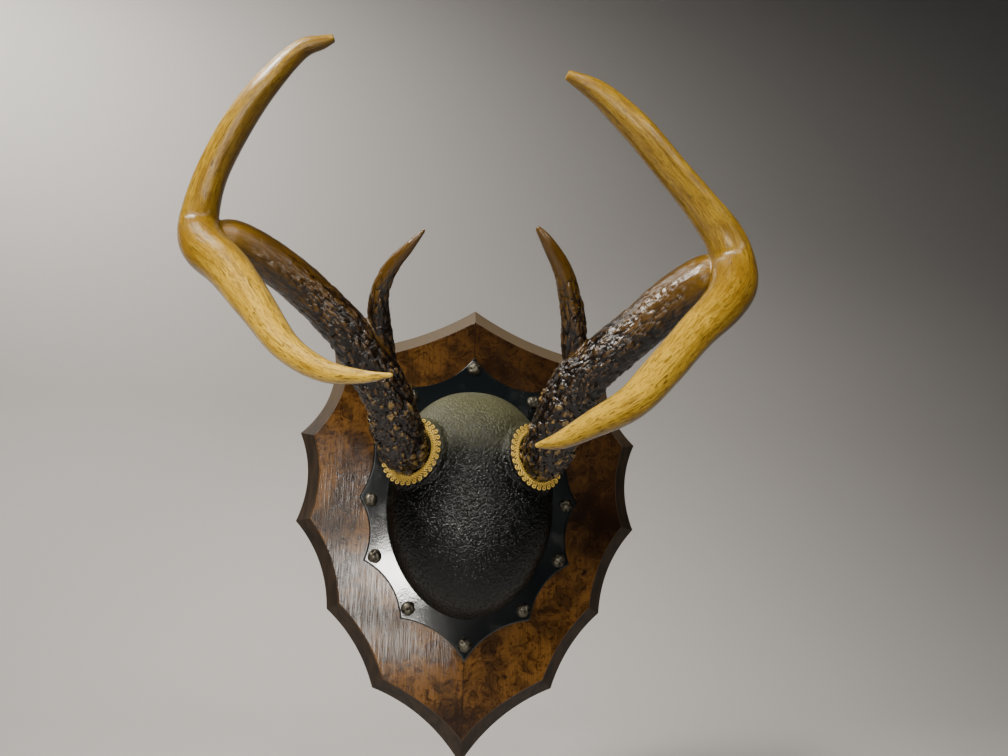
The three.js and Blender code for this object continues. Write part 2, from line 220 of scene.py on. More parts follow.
class ANTLER_PG_form(bpy.types.PropertyGroup):
    """Sizes and colours of the leather form and the braid."""

    skin_step: length("Skin step", "Size of the squares that the leather's surface is made of", 0.86 * MM)
    pebble: length("Pebble", "Width of a pebble in the leather", 2.4 * MM)
    pebble_height: length("Pebble height", "Height of a pebble", 0.07 * MM)
    leather: colour("Leather", "Colour of the leather", (0.0022, 0.0030, 0.0028))
    # Colour of the form's top: dust together with the painted sheen of light from above.
    leather_dust_and_sheen: colour("Worn leather", "Colour of dry and dusty leather", (0.100, 0.100, 0.052))
    thread: length("Thread", "Thickness of one thread of the braid", 0.84 * MM)
    gold: colour("Gold", "Colour of the braid's thread", (0.95, 0.66, 0.12))
    # The thread's painted shade: in its twists, and darker still at its sides.
    gold_shade: colour("Gold shade", "Colour of the thread in its twists", (0.62, 0.36, 0.05))


class ANTLER_PG_antler(bpy.types.PropertyGroup):
    """Sizes and colours of the antlers."""

    skin_step: length("Skin step", "Size of the squares that the antlers' surface is made of", 0.62 * MM)
    pearl: length("Pearl", "Width of a small pearl on the bark", 3.4 * MM)
    pearl_height: length("Pearl height", "Height of a small pearl", 1.1 * MM)
    knob_height: length("Knob height", "Height of the few large pearls", 1.9 * MM)
    rope: length("Rope", "Width of the ropes that run along the bark", 3.2 * MM)
    groove_depth: length("Groove depth", "Depth of the grooves between the ropes", 1.3 * MM)
    bark: colour("Bark", "Darkest colour of the bark", (0.0035, 0.0016, 0.0008))
    bark_light: colour("Bark light", "Colour of the bark's ridges", (0.058, 0.031, 0.011))
    pearl_colour: colour("Pearl colour", "Colour of the pearls' tops", (0.27, 0.17, 0.05))
    amber: colour("Amber", "Colour of the polished points", (0.21, 0.112, 0.008))
    amber_light: colour("Amber light", "Lightest colour of the points", (0.56, 0.35, 0.032))
    amber_dark: colour("Amber dark", "Colour of the brown streaks", (0.060, 0.028, 0.004))
    lacquer: amount("Lacquer", "Gloss of the lacquer: 1 is as new, 0 is worn dull", 1.0)


class ANTLER_PG_studio(bpy.types.PropertyGroup):
    """Camera and light."""

    lens: bpy.props.FloatProperty(
        name="Lens", description="Focal length on a 36 mm wide sensor", default=27.04, unit="CAMERA",
    )
    place: bpy.props.FloatVectorProperty(
        name="Camera place", description="Where the camera stands",
        default=(-0.0391, -0.6303, -0.0049), size=3, unit="LENGTH", subtype="TRANSLATION",
    )
    turn: bpy.props.FloatVectorProperty(
        name="Camera turn", description="Which way the camera looks",
        default=tuple(math.radians(a) for a in (101.463, -1.483, -6.298)), size=3, subtype="EULER",
        unit="ROTATION",
    )
    paper: colour("Paper", "Colour of the floor and backdrop", (0.60, 0.585, 0.57))
    sky: amount("Sky", "Strength of the even light from all round", 0.03, top=5.0)


# ------------------------ numbers scattered over space


def lattice(cell, seed):
    """A number from 0 to 1 for each whole-number point: its coordinates are multiplied by large primes,
    added, and their bits are stirred."""
    i = (cell & 0xFFFFFFFF).astype(np.uint32)
    start = np.uint32(seed * 3266489917 & 0xFFFFFFFF)
    h = (i[:, 0] * np.uint32(374761393) + i[:, 1] * np.uint32(668265263) + i[:, 2] * np.uint32(2246822519)
         + start)
    h = (h ^ (h >> np.uint32(13))) * np.uint32(1274126177)
    h = (h ^ (h >> np.uint32(15))) * np.uint32(2654435761)
    return (h ^ (h >> np.uint32(16))).astype(np.float64) / 2**32


def cloud(points, seed):
    """Smooth noise from 0 to 1: the numbers at the corners of a point's cube, blended by t²(3 - 2t)."""
    cell = np.floor(points).astype(np.int64)
    t = points - cell
    t = t * t * (3 - 2 * t)
    total = np.zeros(len(points))
    for corner in np.ndindex(2, 2, 2):
        c = np.array(corner)
        total += np.prod(np.where(c, t, 1 - t), axis=1) * lattice(cell + c, seed)
    return total


def pebbles(points, seed):
    """Scattered points, one to a cube: the distance to the nearest and to the next, and the nearest's own
    number from 0 to 1."""
    cell = np.floor(points).astype(np.int64)
    near = np.full(len(points), 9.0)
    following, number = near.copy(), np.zeros(len(points))
    for step in np.ndindex(3, 3, 3):
        c = cell + np.array(step) - 1
        centre = c + np.stack([lattice(c, seed + axis) for axis in (1, 2, 3)], axis=1)
        far = np.linalg.norm(points - centre, axis=1)
        nearer = far < near
        following = np.where(nearer, near, np.minimum(following, far))
        number = np.where(nearer, lattice(c, seed), number)
        near = np.minimum(near, far)
    return near, following, number


# ------------------------ surfaces


def unit(v):
    """Directions of length one."""
    return v / np.linalg.norm(v, axis=-1, keepdims=True)


def even_angles(count):
    """Angles evenly round a circle."""
    return 2 * np.pi * np.arange(count) / count


def circle(angles, first, second):
    """cos(angle) of the first direction and sin(angle) of the second, for each row of directions."""
    return np.cos(angles)[:, None] * first[..., None, :] + np.sin(angles)[:, None] * second[..., None, :]


def standing(seat, along):
    """A place in metres, the direction in which a thing stands there, and two directions across it."""
    along = unit(np.array(along, float))
    side = unit(np.cross(along, (0, 0, 1)))
    return np.array(seat) * MM, along, side, np.cross(side, along)


def rings_mesh(rings, closed=True):
    """A tube of quads through rings (rings, around, 3) and, if closed, a fan to the middle of each end."""
    count, around = rings.shape[:2]
    points = rings.reshape(-1, 3)
    i, j = np.meshgrid(np.arange(count - 1), np.arange(around), indexing="ij")
    k = (j + 1) % around
    quads = np.stack([i * around + j, i * around + k, (i + 1) * around + k, (i + 1) * around + j], -1)
    faces = quads.reshape(-1, 4).tolist()
    if closed:
        points = np.vstack([points, rings[0].mean(0), rings[-1].mean(0)])
        j = np.arange(around)
        k = (j + 1) % around
        first, last = count * around, (count - 1) * around
        faces += np.stack([k, j, np.full(around, first)], -1).tolist()
        faces += np.stack([last + j, last + k, np.full(around, first + 1)], -1).tolist()
    return points, faces


def looped(rings):
    """A tube of quads through rings, with the last ring joined to the first."""
    count = rings.shape[0] * rings.shape[1]
    points, faces = rings_mesh(np.vstack([rings, rings[:1]]), closed=False)
    return points[:count], [[n % count for n in face] for face in faces]


def joined(shells):
    """Several point and face lists as one."""
    points, faces, start = [], [], 0
    for p, f in shells:
        points.append(p)
        faces += [[n + start for n in face] for face in f]
        start += len(p)
    return np.vstack(points), faces


def put(name, points, faces, attributes=None, flat_over=None):
    """A mesh object in the row frame. Attributes are floats at its points. Edges that bend more than
    flat_over degrees stay sharp."""
    mesh = bpy.data.meshes.new(name)
    mesh.from_pydata(points, [], faces)
    mesh.validate()
    for key, values in (attributes or {}).items():
        mark(mesh, key, values)
    mesh.polygons.foreach_set("use_smooth", np.ones(len(mesh.polygons), bool))
    if flat_over:
        keep_sharp(mesh, flat_over)
    piece = bpy.data.objects.new(name, mesh)
    bpy.context.scene.collection.objects.link(piece)
    return piece


def mark(mesh, key, values):
    """Stores a number at each point of a mesh."""
    mesh.attributes.new(key, "FLOAT", "POINT").data.foreach_set("value", np.asarray(values, np.float32))


def keep_sharp(mesh, degrees):
    """Keeps the edges sharp where a mesh bends more than this."""
    mesh.set_sharp_from_angle(angle=math.radians(degrees))


def baked(piece):
    """Makes what a piece's modifiers give its own mesh."""
    made = bpy.data.meshes.new_from_object(piece.evaluated_get(bpy.context.evaluated_depsgraph_get()))
    piece.modifiers.clear()
    piece.data = made
    return piece


def one_skin(piece, step, passes):
    """Turns overlapping shells into one skin of even squares, and eases its creases."""
    skin = piece.modifiers.new("skin", "REMESH")
    skin.mode, skin.voxel_size, skin.use_smooth_shade = "VOXEL", step, True
    ease = piece.modifiers.new("ease", "SMOOTH")
    ease.factor, ease.iterations = 0.5, passes
    return baked(piece)


def places(mesh):
    """Points and outward directions of a mesh."""
    co, out = np.empty(len(mesh.vertices) * 3), np.empty(len(mesh.vertices) * 3)
    mesh.vertices.foreach_get("co", co)
    mesh.vertex_normals.foreach_get("vector", out)
    return co.reshape(-1, 3), out.reshape(-1, 3)


def raise_skin(mesh, co, out, height):
    """Moves every point out along its own direction."""
    mesh.vertices.foreach_set("co", (co + out * height[:, None]).ravel())
    mesh.update()


def finished(piece, material, slot, *nodes):
    """Gives a piece its material, puts it under the root body and hides the solids that it stands for."""
    piece.data.materials.clear()
    piece.data.materials.append(material)
    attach(piece, "root")
    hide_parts(*nodes)


def turned(profile, seat, along, sides, closed=True):
    """A profile of (radius, height) in millimetres turned about the line from seat along a direction."""
    seat, along, side, up = standing(seat, along)
    ring = circle(even_angles(sides), side, up)
    rings = np.array([seat + ring * r * MM + along * h * MM for r, h in profile if r > 0])
    return rings_mesh(rings[:, ::-1]) if closed else looped(rings[:, ::-1])


def scalloped(corners, inset, samples=24):
    """Closed outline from the top point clockwise, moved in by inset. Each edge is the curve
    (1-t)²A + 2t(1-t)C + t²B; its corners move along their mitres and its middle straight in."""
    c = np.array(corners, float)
    loop = np.vstack([c[:, :2], c[-2:0:-1, :2] * (-1, 1)]) * MM
    dip = np.concatenate([c[:-1, 2], c[-2::-1, 2]])[:, None]
    start, end = loop, np.roll(loop, -1, axis=0)
    inward = (end - start)[:, ::-1] * (1, -1)
    control = (start + end) / 2 + 2 * dip * inward
    leaving = unit((control - start)[:, ::-1] * (1, -1))
    arriving = unit((end - control)[:, ::-1] * (1, -1))
    before = np.roll(arriving, 1, axis=0)
    mitre = (before + leaving) / (1 + np.sum(before * leaving, axis=1, keepdims=True))
    middle = (start + 2 * control + end) / 4 + inset * unit(inward)
    start = start + inset * mitre
    end = np.roll(start, -1, axis=0)
    control = 2 * middle - (start + end) / 2
    t = (np.arange(samples) / samples)[:, None, None]
    curve = (1 - t) ** 2 * start + 2 * t * (1 - t) * control + t**2 * end
    return curve.transpose(1, 0, 2).reshape(-1, 2)


def scalloped_slab(corners, layers):
    """Rings of one outline at pairs of inset and depth, from the back to the front."""
    rings = []
    for inset, y in layers:
        xz = scalloped(corners, inset)
        rings.append(np.column_stack([xz[:, 0], np.full(len(xz), y), xz[:, 1]]))
    return np.array(rings)[:, ::-1]


# ------------------------ materials


def maths(operation, turned_round=False):
    """A method of Wire that adds one Math node. Turned round, the other value comes first."""

    def method(self, *others):
        values = (*others, self) if turned_round else (self, *others)
        return self.finish.node("ShaderNodeMath", {"operation": operation}, dict(enumerate(values)))

    return method


class Wire:
    """A value in a material's node tree. Arithmetic on it adds Math nodes."""

    def __init__(self, finish, socket):
        self.finish, self.socket = finish, socket

    __add__ = __radd__ = maths("ADD")
    __sub__, __rsub__ = maths("SUBTRACT"), maths("SUBTRACT", turned_round=True)
    __mul__ = __rmul__ = maths("MULTIPLY")
    most, size, wave = maths("MAXIMUM"), maths("ABSOLUTE"), maths("SINE")

    def between(self, low, high):
        """0 at low, 1 at high and a smooth step between, also where low is the larger."""
        settings = {"interpolation_type": "SMOOTHSTEP"}
        return self.finish.node("ShaderNodeMapRange", settings, {0: self, 1: low, 2: high})


class Finish:
    """A material being made."""

    def __init__(self, name):
        self.material = bpy.data.materials.new(name)
        self.material.use_nodes = True
        self.tree = self.material.node_tree
        self.shader = self.tree.nodes["Principled BSDF"]
        self.place = self.node("ShaderNodeTexCoord", outputs="Object")

    def node(self, kind, settings=None, inputs=None, outputs=0):
        """Any node: its settings, then its sockets' values or links by name or number."""
        made = self.tree.nodes.new(kind)
        for key, value in (settings or {}).items():
            setattr(made, key, value)
        for key, value in (inputs or {}).items():
            self.feed(made.inputs[key], value)
        return Wire(self, made.outputs[outputs])

    def feed(self, socket, value):
        """Links a wire to a socket, or sets the socket's own value."""
        if isinstance(value, Wire):
            self.tree.links.new(value.socket, socket)
        elif hasattr(value, "__len__") and socket.type == "RGBA" and len(value) == 3:
            socket.default_value = (*value, 1.0)
        else:
            socket.default_value = value

    def attribute(self, name):
        """The number that a mesh carries at each point."""
        return self.node("ShaderNodeAttribute", {"attribute_name": name}, outputs="Fac")

    def stretched(self, scale, place=None):
        """Coordinates scaled differently each way."""
        return self.node("ShaderNodeMapping", {}, {"Vector": place or self.place, "Scale": scale})

    def noise(self, scale, place=None, detail=3.0, rough=0.5, bend=0.0):
        """Cloudy noise about 0.5: detail adds finer clouds, rough makes them stronger, bend curls them."""
        inputs = {"Vector": place or self.place, "Scale": scale, "Detail": detail, "Roughness": rough,
                  "Distortion": bend}
        return self.node("ShaderNodeTexNoise", {}, inputs)

    def cells(self, scale, place=None, feature="F1"):
        """Distance to the nearest of scattered points."""
        inputs = {"Vector": place or self.place, "Scale": scale}
        return self.node("ShaderNodeTexVoronoi", {"feature": feature}, inputs, "Distance")

    def warped(self, scale, by, place=None):
        """Coordinates pushed about by noise."""
        source = place or self.place
        inputs = {"Vector": source, "Scale": scale, "Detail": 2.0}
        push = self.node("ShaderNodeTexNoise", {}, inputs, "Color")
        centred = self.vector("SUBTRACT", push, (0.5, 0.5, 0.5))
        return self.vector("ADD", source, self.vector("SCALE", centred, by))

    def vector(self, operation, a, b):
        """Maths on coordinates or colours."""
        inputs = {0: a, "Scale" if operation == "SCALE" else 1: b}
        return self.node("ShaderNodeVectorMath", {"operation": operation}, inputs)

    def mix(self, share, a, b):
        """Colour a, or b by a share."""
        settings = {"data_type": "RGBA", "clamp_factor": True}
        return self.node("ShaderNodeMix", settings, {0: share, 6: a, 7: b}, 2)

    def bump(self, height, distance, strength, normal=None):
        """A surface bent as if height, times distance, stood out from it."""
        inputs = {"Height": height, "Distance": distance, "Strength": strength}
        if normal is not None:
            inputs["Normal"] = normal
        return self.node("ShaderNodeBump", {}, inputs)

    def done(self, **sockets):
        """Sets the shader's sockets: underscores in a name stand for spaces."""
        for key, value in sockets.items():
            self.feed(self.shader.inputs[key.replace("_", " ")], value)
        return self.material


def veneer_finish(plaque):
    """Burl veneer, two leaves that meet in a seam: curly figure, rings about dark eyes that lie in groups,
    pores that run up and down, and plain wood on the sloping edge, the sides and the back."""
    f = Finish("burl veneer")
    x, y, z = (f.node("ShaderNodeSeparateXYZ", {}, {0: f.place}, axis) for axis in "XYZ")
    leaf = x.between(-0.00001, 0.00001) * 0.7
    leaves = f.node("ShaderNodeCombineXYZ", {}, {"X": x + leaf, "Y": 0.0, "Z": z + leaf})
    bent = f.warped(55, 0.020, leaves)
    broad = f.noise(16, leaves, detail=3.0)
    curl = f.noise(130, bent, detail=8.0, rough=0.65, bend=2.2)
    swirl = (f.noise(52, bent, detail=4.0, bend=1.5) * 26).wave() * 0.5 + 0.5
    bowed = f.warped(110, 0.009, leaves)
    eyes, grouped = f.cells(95, bowed), f.noise(26, leaves, detail=1.0).between(0.47, 0.58)
    rings = (eyes * 30 + curl * 6).wave() * 0.5 + 0.5
    dots = f.cells(260, bowed).between(0.20, 0.08)
    pores = f.noise(1.0, f.stretched((1100, 1100, 28)), detail=2.0)
    tone = f.mix((curl + swirl * 0.12 + broad * 0.9 - 0.5).between(0.32, 0.62), plaque.veneer_mid,
                 plaque.veneer_light)
    shades = (
        curl.between(0.52, 0.34) * 0.5,
        rings * eyes.between(0.55, 0.2) * grouped * 0.45,
        eyes.between(0.17, 0.08) * grouped,
        dots * f.noise(44, leaves).between(0.5, 0.62) * 0.55,
        broad.between(0.52, 0.36) * 0.75,
        f.noise(48, bent).between(0.55, 0.40) * 0.65,
        pores.between(0.46, 0.34) * 0.4,
        # Painted shadow: the veneer darker towards the upper right, where the right antler shades the board.
        (x * 0.9 + z * 0.6).between(0.0, 0.12) * 0.72,
        z.between(0.0, 0.10) * 0.15,
        x.size().between(0.0006, 0.0001) * 0.7,
    )
    for shade in shades:
        tone = f.mix(shade, tone, plaque.veneer_dark)
    grain = f.noise(1.0, f.stretched((260, 260, 34)), detail=5.0)
    slope = f.mix(grain.between(0.35, 0.68), plaque.edge_wood, tuple(c * 0.4 for c in plaque.edge_wood))
    # Painted light: the upper slopes of the edge lighter, as light falls on them from above.
    slope = f.mix(z.between(0.06, 0.12) * 0.5, slope, (0.13, 0.095, 0.055))
    foot = BEVEL_DEEP - BOARD_THICK
    bevel = f.attribute("bevel").most(y.between(foot - 1.5 * MM, foot + 0.5 * MM))
    rim = f.attribute("rim")
    tone = f.mix(bevel, tone, slope)
    tone = f.mix(rim * 0.6, tone, tuple(min(1, c * 3) for c in plaque.edge_wood))
    height = pores.between(0.34, 0.60) * (1 - bevel) * x.between(0.01, -0.03) + curl * 0.08
    rough = f.noise(70) * 0.06 + 0.10 + bevel * 0.44
    return f.done(Base_Color=tone, Roughness=rough, Normal=f.bump(height, 0.0001, 0.4), IOR=1.37)


def plate_finish(plaque):
    """Black paint on sheet metal: slightly wavy, with brush marks, rubbed and nicked here and there."""
    f = Finish("black plate")
    cloudy = f.noise(34, detail=4.0)
    nicks = f.cells(210).between(0.09, 0.05) * f.noise(28).between(0.56, 0.62)
    scuffs = f.noise(60, detail=5.0).between(0.58, 0.72)
    tone = f.mix(scuffs * 0.06, plaque.plate_paint, (0.06, 0.055, 0.05))
    tone = f.mix(nicks * 0.5, tone, (0.001, 0.001, 0.001))
    rough = cloudy * 0.06 + 0.07 + scuffs * 0.04
    normal = f.bump(f.noise(26, detail=2.0), 0.0011, 0.22)
    normal = f.bump(f.noise(700, detail=2.0) - nicks, 0.00006, 0.35, normal)
    return f.done(Base_Color=tone, Roughness=rough, Normal=normal, IOR=1.7)


def tack_finish(plaque):
    """Antique pewter: brighter on what stands up, near black in the hollows."""
    f = Finish("antique pewter")
    relief = f.attribute("relief")
    mottle = f.noise(420, detail=4.0)
    tone = f.mix((relief * 1.2 + mottle - 0.6).between(0.15, 0.9), (0.012, 0.010, 0.008), plaque.pewter)
    rough = 0.52 - relief * 0.16 + mottle * 0.1
    return f.done(Base_Color=tone, Roughness=rough, Metallic=0.85, Normal=f.bump(mottle, 0.0002, 0.4))


def steel_finish():
    """Zinc-plated steel with the marks of rolling."""
    f = Finish("zinc steel")
    rolled = f.noise(1.0, f.stretched((60, 60, 1400)), detail=3.0)
    tone = f.mix(rolled, (0.34, 0.34, 0.33), (0.56, 0.55, 0.52))
    return f.done(Base_Color=tone, Roughness=rolled * 0.2 + 0.28, Metallic=0.9,
                  Normal=f.bump(rolled, 0.00005, 0.3))


def leather_finish(form):
    """Black leather: fine pebbles inside the larger ones, dry, dusty and olive towards the top, where
    painted sheen from above is mixed in, and painted shade in the creases.
    """
    f = Finish("black leather")
    crown, crease = f.attribute("crown"), f.attribute("crease")
    fine = f.cells(1 / (form.pebble * 0.45), f.warped(300, 0.0006), "SMOOTH_F1")
    coarse = f.cells(1 / form.pebble, f.warped(260, 0.0011))
    # Dust and painted sheen from above: olive towards the top of the form.
    dust_and_sheen = (crown * 1.2 + f.noise(55) * 0.3 - 0.15).between(0.38, 1.15)
    tone = f.mix(dust_and_sheen, form.leather, form.leather_dust_and_sheen)
    # Painted shade: the creases between pebbles darkened, less so towards the dusty, sheened top.
    cut = crease.most(coarse.between(0.42, 0.62))
    tone = f.mix(cut * (0.85 - dust_and_sheen * 0.55), tone, (0.001, 0.001, 0.001))
    height = coarse.between(0.62, 0.2) + fine.between(0.7, 0.1) * 0.45
    rough = 0.20 + dust_and_sheen * 0.22 + f.noise(40) * 0.06
    return f.done(Base_Color=tone, Roughness=rough, Normal=f.bump(height, 0.00038, 0.9), IOR=1.36)


def braid_finish(form):
    """Gold thread: two plies twisted round each other, bright on top, with painted shade in the twists, at
    the sides of each thread and in the gaps.
    """
    f = Finish("gold thread")
    along, top, low = (f.attribute(key) for key in ("along", "top", "low"))
    twist = (along * 2 * math.pi + top * 2).wave() * 0.5 + 0.5
    # Painted shade in the twists between the two plies.
    tone = f.mix(twist * 0.35 + 0.65, form.gold_shade, form.gold)
    # Painted shade: each thread darker at its sides and below, away from its top.
    tone = f.mix(top.between(0.6, -0.2) * 0.65, tone, tuple(c * 0.25 for c in form.gold_shade))
    # Painted shade in the gaps: threads darker low down near the form, and the backing ring under them near
    # black.
    tone = f.mix(low.between(0.3, 0.85) * 0.95, tone, (0.012, 0.007, 0.003))
    return f.done(Base_Color=tone, Roughness=0.38, Metallic=0.1, Normal=f.bump(twist, 0.0001, 0.5))


def antler_finish(antler):
    """Lacquered antler. The bark goes from black in its grooves, dark stain with painted shade, to gold on
    its pearls; the points are amber with short brown streaks that run along them, and painted shade darkens
    the side that faces away from the painted light."""
    f = Finish("lacquered antler")
    relief, pearl, amber = f.attribute("relief"), f.attribute("pearl"), f.attribute("amber")
    pale, under = f.attribute("pale"), f.attribute("under")
    grain = f.node("ShaderNodeAttribute", {"attribute_name": "grain"}, outputs="Vector")
    mottle = f.noise(520, detail=5.0, rough=0.65)
    broad = f.noise(42, detail=3.0)
    fine = f.noise(1.0, f.stretched((110, 1200, 1200), grain), detail=5.0, rough=0.7)
    long = f.noise(1.0, f.stretched((28, 420, 420), grain), detail=5.0, rough=0.6)
    # Bark darker in its grooves: the antler's own dark stain, with painted shade added there.
    bark = f.mix((relief + mottle * 0.5 - 0.3).between(0.3, 1.0), antler.bark, antler.bark_light)
    bark = f.mix(pearl.between(0.55, 1.05) * mottle.between(0.25, 0.6), bark, antler.pearl_colour)
    light = (pale + (broad - 0.5) * 0.8 + (fine - 0.5) * 3.2 + (long - 0.5) * 2.6).between(0.0, 1.0)
    polished = f.mix(light, antler.amber, antler.amber_light)
    # The last of these is painted shade on the side that faces away from the painted light.
    shades = (fine.between(0.51, 0.62) * 0.85, long.between(0.53, 0.66) * 0.55,
              pale.between(0.05, -0.5) * 0.85, under.between(0.15, 0.95) * 0.8)
    for shade in shades:
        polished = f.mix(shade, polished, antler.amber_dark)
    # Painted shade also lets more dark bark show on the side away from the painted light.
    share = amber + (long - 0.5) * 0.8 + (relief - 0.5) * 0.3 - under * 0.4
    tone = f.mix(share.between(0.22, 0.72), bark, polished)
    rough = (0.13 + mottle * 0.14 - amber * 0.01) * (2 - antler.lacquer)
    height = mottle * (1.0 - amber) * 0.8 + (fine * 0.34 + long * 0.48 + broad * 0.8) * amber
    return f.done(Base_Color=tone, Roughness=rough, Normal=f.bump(height, 0.0007, 0.8), IOR=1.5)


def paper_finish(studio):
    """Pale backdrop paper with a faint tooth."""
    f = Finish("studio paper")
    tooth = f.noise(220, detail=4.0)
    tone = f.mix(tooth * 0.4, studio.paper, tuple(c * 0.94 for c in studio.paper))
    return f.done(Base_Color=tone, Roughness=0.95, Normal=f.bump(tooth, 0.0004, 0.15))


# ------------------------ plaque


class ANTLER_OT_board(bpy.types.Operator):
    """Board with hollow-curved edges, a bevel and a pocket for the hanger"""

    bl_idname = "antler_mount.board"
    bl_label = "Board"

    def execute(self, context):
        plaque = context.scene.antler_plaque
        r, wide, face = plaque.edge_round, plaque.bevel_wide, -BOARD_THICK
        foot = face + BEVEL_DEEP
        slope = BEVEL_DEEP / wide
        side = [(r, 0), (0.3 * r, -0.3 * r), (0, -r), (0, foot + r), (0.25 * r, foot), (r, foot - r * slope)]
        front = [(wide - r, face + r * slope), (wide - 0.35 * r, face + 0.25 * r), (wide + 0.6 * r, face),
                 (wide + 1.6 * r, face)]
        layers = side + front
        points, faces = rings_mesh(scalloped_slab(BOARD_CORNERS, layers))
        around = len(points) // len(layers)
        # Plain wood and a lighter line along the bevel's inner edge on each ring, then on the middles of the
        # back and the front.
        bevel = np.append(np.repeat([1, 1, 1, 1, 1, 1, 1, 0.6, 0, 0], around), (1, 0))
        rim = np.append(np.repeat([0, 0, 0, 0, 0.5, 0, 0, 1, 0, 0], around), (0, 0))
        board = put("plaque_board", points, faces, {"bevel": bevel, "rim": rim})
        cutter = put("pocket_cutter", *box_shell(**POCKET))
        cut = board.modifiers.new("pocket", "BOOLEAN")
        cut.operation, cut.object, cut.solver = "DIFFERENCE", cutter, "EXACT"
        close_gaps(baked(board).data)
        keep_sharp(board.data, 25)
        bpy.data.objects.remove(cutter)
        finished(board, veneer_finish(plaque), "board_veneer", "board")
        return {"FINISHED"}


def close_gaps(mesh):
    """Fills the faces that a Boolean left out, and turns all faces outward."""
    work = bmesh.new()
    work.from_mesh(mesh)
    bmesh.ops.holes_fill(work, edges=[edge for edge in work.edges if edge.is_boundary], sides=0)
    bmesh.ops.recalc_face_normals(work, faces=work.faces)
    work.to_mesh(mesh)
    work.free()


def box_shell(wide, deep, tall, z):
    """Corners and faces of a box whose middle is on the wall at height z, deep to either side."""
    corners = np.array(list(np.ndindex(2, 2, 2))) * 2 - 1
    points = corners * (wide / 2, deep, tall / 2) + (0, 0, z)
    return points, [[0, 1, 3, 2], [4, 6, 7, 5], [0, 4, 5, 1], [2, 3, 7, 6], [0, 2, 6, 4], [1, 5, 7, 3]]


class ANTLER_OT_plate(bpy.types.Operator):
    """Black metal plate with a rolled edge"""

    bl_idname = "antler_mount.plate"
    bl_label = "Plate"

    def execute(self, context):
        plaque = context.scene.antler_plaque
        layers = [(inset * PLATE_THICK, PLATE_FACE + depth * PLATE_THICK) for inset, depth in PLATE_EDGE]
        plate = put("scalloped_plate", *rings_mesh(scalloped_slab(PLATE_CORNERS, layers)), flat_over=50)
        finished(plate, plate_finish(plaque), "plate_metal", "plate")
        return {"FINISHED"}


def tack_places():
    """A little in from every corner of the plate towards its middle: right-hand ones, then leaves."""
    c = np.array(PLATE_CORNERS, float)[:, :2] * MM
    inset = np.full(len(c), TACK_INSET)
    inset[-1] = TACK_INSET_BOTTOM
    right = c - unit(c) * inset[:, None]
    return np.vstack([right, right[right[:, 0] > MM] * (-1, 1)])


class ANTLER_OT_tacks(bpy.types.Operator):
    """Twelve round-headed tacks with hammered heads"""

    bl_idname = "antler_mount.tacks"
    bl_label = "Tacks"

    def execute(self, context):
        plaque = context.scene.antler_plaque
        material = tack_finish(plaque)
        for i, (x, z) in enumerate(tack_places(), start=1):
            radius, height = plaque.head_across / 2, plaque.head_height
            points, faces, relief = hammered_head(radius, height, seed=40 + 7 * i)
            points = np.column_stack([points[:, 0] + x, PLATE_FACE - points[:, 2], points[:, 1] + z])
            tack = put(f"tack_head_{i:02d}", points, faces, {"relief": relief})
            finished(tack, material, "tack_metal", f"tack_{i:02d}")
        return {"FINISHED"}


def hammered_head(radius, height, seed, rings=22, around=48):
    """A domed head on a round shank. Height over the plate is height * (1 - share^2.4)^0.5 at a share of the
    radius. Hammer marks press it in by 1 - (distance/reach)² about scattered points."""
    share = np.sin(np.linspace(0, 1, rings) * np.pi / 2)[::-1]
    rise = (1 - share**2.4) ** 0.5
    turn = even_angles(around)
    r, h, t = np.repeat(share, around), np.repeat(rise, around), np.tile(turn, rings)
    flat = np.column_stack([r * np.cos(t), r * np.sin(t), np.full(len(t), 0.5)])
    near, _, number = pebbles(flat * 1.9 + 8, seed)
    mark_depth = np.clip(1 - (near / 0.62) ** 2, 0, 1) * (0.35 + 0.65 * number)
    lobe = 1 + 0.035 * np.sin(3 * t + seed) + 0.02 * np.sin(5 * t + 2 * seed)
    out = radius * r * lobe * (1 - 0.05 * mark_depth)
    up = height * h * (1 - 0.26 * mark_depth * (h > 0.25))
    head = np.column_stack([out * np.cos(t), out * np.sin(t), up]).reshape(rings, around, 3)
    ring = np.column_stack([np.cos(turn), np.sin(turn)])
    shank = np.array([np.column_stack([ring * wide, np.full(around, z)]) for wide, z in SHANK]) * MM
    points, faces = rings_mesh(np.vstack([shank, head[:-1]]))
    proud = (1 - mark_depth)[:-around]
    return points, faces, np.concatenate([np.zeros(3 * around), proud, [0, 1]])


class ANTLER_OT_hanger(bpy.types.Operator):
    """Finish of the toothed hanger in the board's back"""

    bl_idname = "antler_mount.hanger"
    bl_label = "Hanger"

    def execute(self, context):
        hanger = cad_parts["hanger"]
        hanger.data.materials.clear()
        hanger.data.materials.append(steel_finish())
        return {"FINISHED"}


# ------------------------ leather form and braid


def form_shell(rings=40, around=160):
    """The oval form: height over the plate is crown * (1 - share^f)^(1/f), and the outline at each share is
    |x/half width|^p + |z/reach|^p = 1, with one reach and p above the middle and another below."""
    turn = np.linspace(0, np.pi / 2, rings)[:-1]
    share = np.cos(turn) ** (2 / FORM["fullness"])
    height = np.sin(turn) ** (2 / FORM["fullness"]) * FORM["crown"]
    across, along = np.cos(even_angles(around)), np.sin(even_angles(around))
    reach = np.where(along > 0, FORM["up"][0], FORM["down"][0])
    power = np.where(along > 0, FORM["up"][1], FORM["down"][1])
    corner = (np.abs(across) ** power + np.abs(along) ** power) ** (-1 / power)
    outline = np.column_stack([across * corner * FORM["half_width"], along * corner * reach])
    xz = share[:, None, None] * outline
    y = np.broadcast_to(PLATE_FACE - height[:, None, None], (*xz.shape[:2], 1))
    rings = np.concatenate([xz[..., :1], y, xz[..., 1:] + FORM["middle"]], axis=2)
    return rings_mesh(rings)


